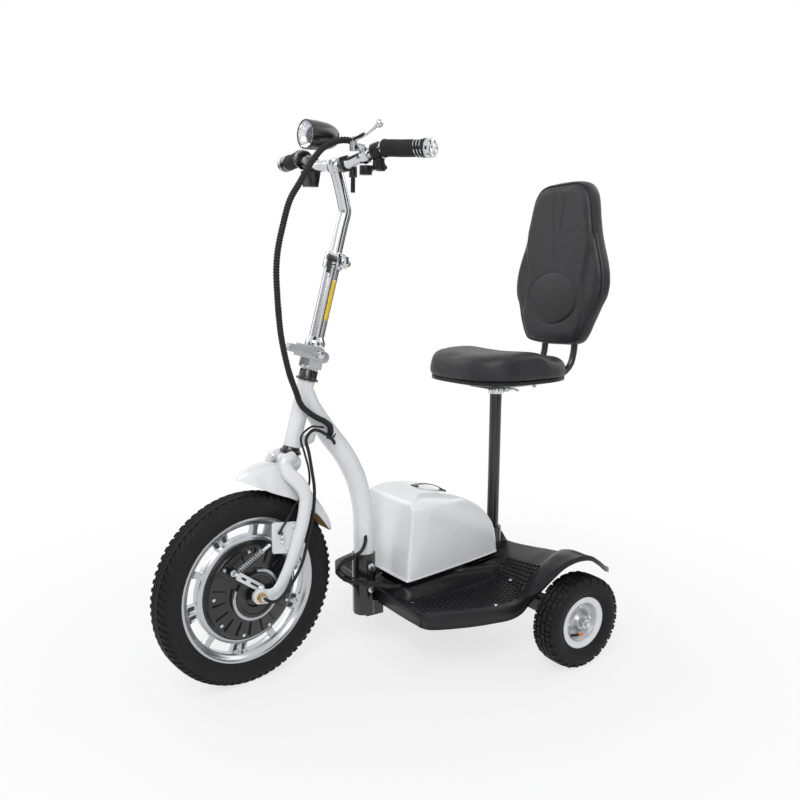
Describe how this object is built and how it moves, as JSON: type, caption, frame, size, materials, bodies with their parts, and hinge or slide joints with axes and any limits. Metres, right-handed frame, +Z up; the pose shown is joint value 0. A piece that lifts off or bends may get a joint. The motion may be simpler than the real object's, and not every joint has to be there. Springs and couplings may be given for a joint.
{
  "type": "seated electric scooter",
  "caption": "Seated electric scooter with a large hub-motor front wheel, small rear wheels, a wide deck, a battery box, a folding height-adjustable column and a seat with a backrest.",
  "frame": {"origin": "on the ground, under the middle of the scooter's bounding box", "axes": "+Z up, the scooter's front faces -Y, the rider's left is +X"},
  "size_m": [0.702, 1.0856, 1.1237],
  "materials": {
    "white_paint": "gloss white paint",
    "white_plastic": "gloss white moulded plastic",
    "black_paint": "satin black paint",
    "black_plastic": "moulded black plastic with a fine grain",
    "tyre": "treaded black rubber",
    "rubber": "soft black rubber",
    "polished_metal": "polished bright metal",
    "bright_steel": "zinc plated steel",
    "cast_grey": "cast satin grey",
    "copper_winding": "wound copper wire",
    "brass": "plated brass",
    "battery_wrap": "blue shrink wrap",
    "seat_vinyl": "soft grained vinyl over foam",
    "clear_lens": "clear faceted lens"
  },
  "bodies": {
    "frame": {"chassis_frame": "black_paint", "deck_cover": "black_plastic", "battery_base": "black_plastic", "battery_cover": "white_plastic", "battery_pack": "battery_wrap", "motor_controller": "cast_grey", "neck_tube": "white_paint", "neck_bolts": "bright_steel", "seat_post_outer": "black_paint", "seat_clamp_collar": "polished_metal", "rear_axle": "bright_steel", "loop_cable": "rubber"},
    "steering": {"fork": "white_paint", "front_fender": "white_paint", "headset_nut": "black_paint", "hub_axle": "bright_steel", "axle_nut_left": "brass", "motor_stator": "copper_winding", "brake_band": "cast_grey", "brake_spring": "bright_steel", "fold_base": "cast_grey", "fold_pin": "polished_metal", "motor_cable": "rubber", "brake_cable": "rubber", "cable_bundle": "black_plastic"},
    "front_wheel": {"front_tyre": "tyre", "front_rim": "polished_metal", "hub_motor_shell": "black_paint"},
    "brake_arm": {"brake_arm": "bright_steel"},
    "rear_wheel_left": {"rear_tyre_left": "tyre", "rear_rim_left": "white_paint"},
    "rear_wheel_right": {"rear_tyre_right": "tyre", "rear_rim_right": "white_paint"},
    "column": {"lower_stem_tube": "polished_metal", "stem_clamp": "polished_metal"},
    "fold_latch": {"fold_latch_lever": "cast_grey"},
    "stem_clamp_lever": {"stem_clamp_lever": "black_paint"},
    "bars": {"upper_stem_tube": "polished_metal", "handlebar": "polished_metal", "grip_left": "rubber", "bar_end_left": "polished_metal", "bar_end_right": "polished_metal", "brake_lever_perch": "polished_metal", "switch_body": "black_plastic", "ignition_lock": "black_paint", "horn": "black_plastic", "throttle_housing": "black_plastic", "headlight_body": "polished_metal", "headlight_lens": "clear_lens"},
    "brake_lever": {"brake_lever": "polished_metal"},
    "throttle_grip": {"throttle_grip_right": "rubber"},
    "horn_button": {"horn_button": "cast_grey"},
    "light_switch": {"light_switch": "cast_grey"},
    "ignition_key": {"ignition_key": "bright_steel"},
    "seat": {"seat_post_inner": "bright_steel", "seat_bracket": "black_paint", "seat_cushion": "seat_vinyl", "backrest_frame": "black_paint", "backrest_pad": "seat_vinyl"},
    "seat_clamp_lever": {"seat_clamp_lever": "polished_metal"}
  },
  "joints": [
    {"name": "steering_turn", "type": "hinge", "parent": "frame", "child": "steering", "pos_m": [0, -0.20241, 0.55606], "axis": [0, 0.2756, 0.9613], "range_deg": [-49.5, 30.5], "deforming": ["motor_cable", "brake_cable", "cable_bundle"]},
    {"name": "front_wheel_spin", "type": "hinge", "parent": "steering", "child": "front_wheel", "pos_m": [0.00577, -0.33895, 0.20488], "axis": [0.9863, 0.1587, -0.0455], "continuous": true},
    {"name": "rear_wheel_left_spin", "type": "hinge", "parent": "frame", "child": "rear_wheel_left", "pos_m": [0.314, 0.29259, 0.10256], "axis": [1, 0, 0], "continuous": true},
    {"name": "rear_wheel_right_spin", "type": "hinge", "parent": "frame", "child": "rear_wheel_right", "pos_m": [-0.314, 0.29259, 0.10256], "axis": [1, 0, 0], "continuous": true},
    {"name": "column_fold", "type": "hinge", "parent": "steering", "child": "column", "pos_m": [0, -0.16768, 0.67718], "axis": [-0.9863, -0.1587, 0.0455], "range_deg": [0, 60], "deforming": ["cable_bundle"]},
    {"name": "fold_latch_turn", "type": "hinge", "parent": "steering", "child": "fold_latch", "pos_m": [0, -0.16768, 0.67718], "axis": [-0.9863, -0.1587, 0.0455], "range_deg": [0, 60]},
    {"name": "stem_slide", "type": "slide", "parent": "column", "child": "bars", "axis": [0, 0.2756, 0.9613], "range_m": [-0.06, 0.08], "deforming": ["cable_bundle"]},
    {"name": "stem_clamp_turn", "type": "hinge", "parent": "column", "child": "stem_clamp_lever", "pos_m": [0.02269, -0.1111, 0.86069], "axis": [-0.165, 0.9481, -0.2719], "range_deg": [0, 150]},
    {"name": "brake_lever_pull", "type": "hinge", "parent": "bars", "child": "brake_lever", "pos_m": [0.09628, -0.12101, 1.08093], "axis": [-0.0455, -0.0036, -0.999], "range_deg": [0, 20], "stiffness_Nm_per_rad": 1, "springref_deg": -20.05, "deforming": ["brake_cable"]},
    {"name": "brake_arm_turn", "type": "hinge", "parent": "steering", "child": "brake_arm", "pos_m": [0.04931, -0.32287, 0.21585], "axis": [-0.9863, -0.1587, 0.0455], "range_deg": [0, 12], "deforming": ["brake_spring", "brake_cable"]},
    {"name": "throttle_twist", "type": "hinge", "parent": "bars", "child": "throttle_grip", "pos_m": [-0.11873, -0.12271, 1.07361], "axis": [-0.993, 0.1175, 0.0087], "range_deg": [0, 70], "stiffness_Nm_per_rad": 0.1, "springref_deg": -17.19},
    {"name": "horn_button_press", "type": "slide", "parent": "bars", "child": "horn_button", "axis": [0.1587, -0.9873, -0.0036], "range_m": [0, 0.002], "stiffness_N_per_m": 150, "springref_m": -0.001},
    {"name": "light_switch_rock", "type": "hinge", "parent": "bars", "child": "light_switch", "pos_m": [0.11552, -0.06557, 1.0318], "axis": [0.9863, 0.1587, -0.0455], "range_deg": [-8, 8]},
    {"name": "ignition_key_turn", "type": "hinge", "parent": "bars", "child": "ignition_key", "pos_m": [0.03934, -0.09039, 1.00833], "axis": [-0.0455, -0.0036, -0.999], "range_deg": [0, 90]},
    {"name": "seat_slide", "type": "slide", "parent": "frame", "child": "seat", "axis": [0, 0, 1], "range_m": [0, 0.12]},
    {"name": "seat_clamp_turn", "type": "hinge", "parent": "frame", "child": "seat_clamp_lever", "pos_m": [0, 0.34459, 0.56306], "axis": [-1, 0, 0], "range_deg": [0, 90]}
  ],
  "couplings": [
    {"joint": "brake_arm_turn", "follows": "brake_lever_pull", "ratio": 0.6}
  ]
}
